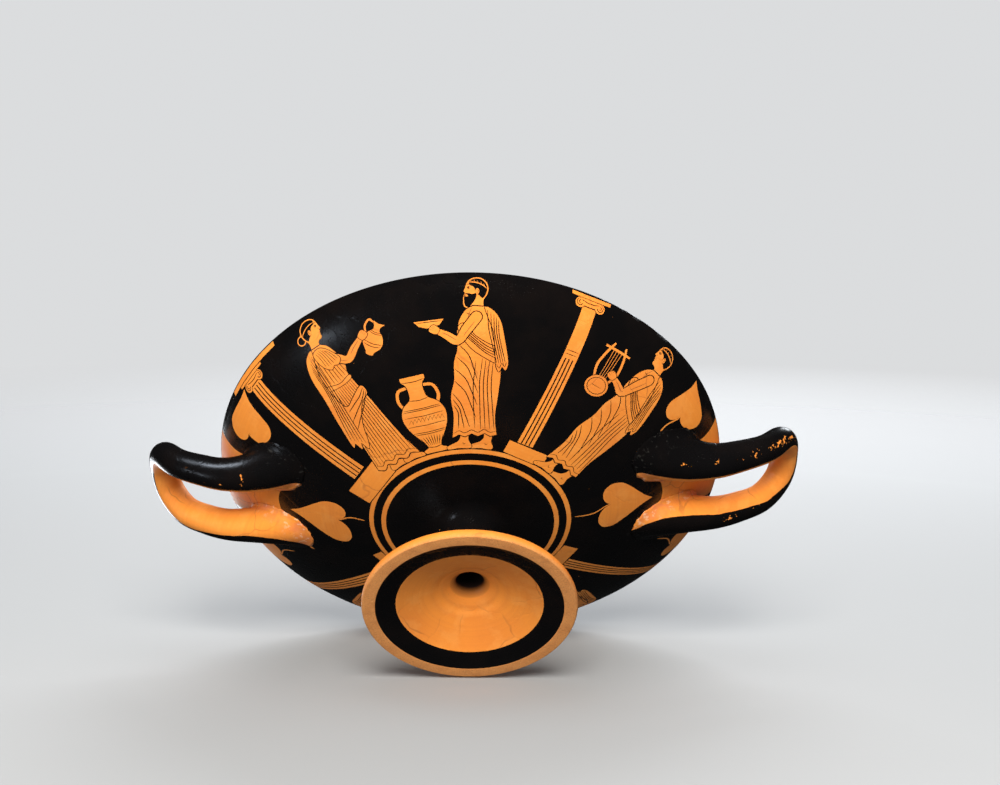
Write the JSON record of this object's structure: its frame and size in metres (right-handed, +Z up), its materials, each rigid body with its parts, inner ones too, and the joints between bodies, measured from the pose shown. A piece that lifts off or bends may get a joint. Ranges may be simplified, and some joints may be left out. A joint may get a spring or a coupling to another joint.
{
  "type": "kylix drinking cup",
  "caption": "Shallow wheel-thrown drinking cup on a hollow stemmed foot, with a horizontal loop handle on each side, black slip with red-figure panels.",
  "frame": {"origin": "centre of the foot's underside, on the plane the cup stands on", "axes": "+Z up along the cup's turning axis, X through the middles of both handles"},
  "size_m": [0.3878, 0.295, 0.1242],
  "materials": {
    "fired_clay": "black gloss slip over orange fired clay, satin sheen"
  },
  "bodies": {
    "root": {"kylix": "fired_clay"}
  },
  "joints": []
}
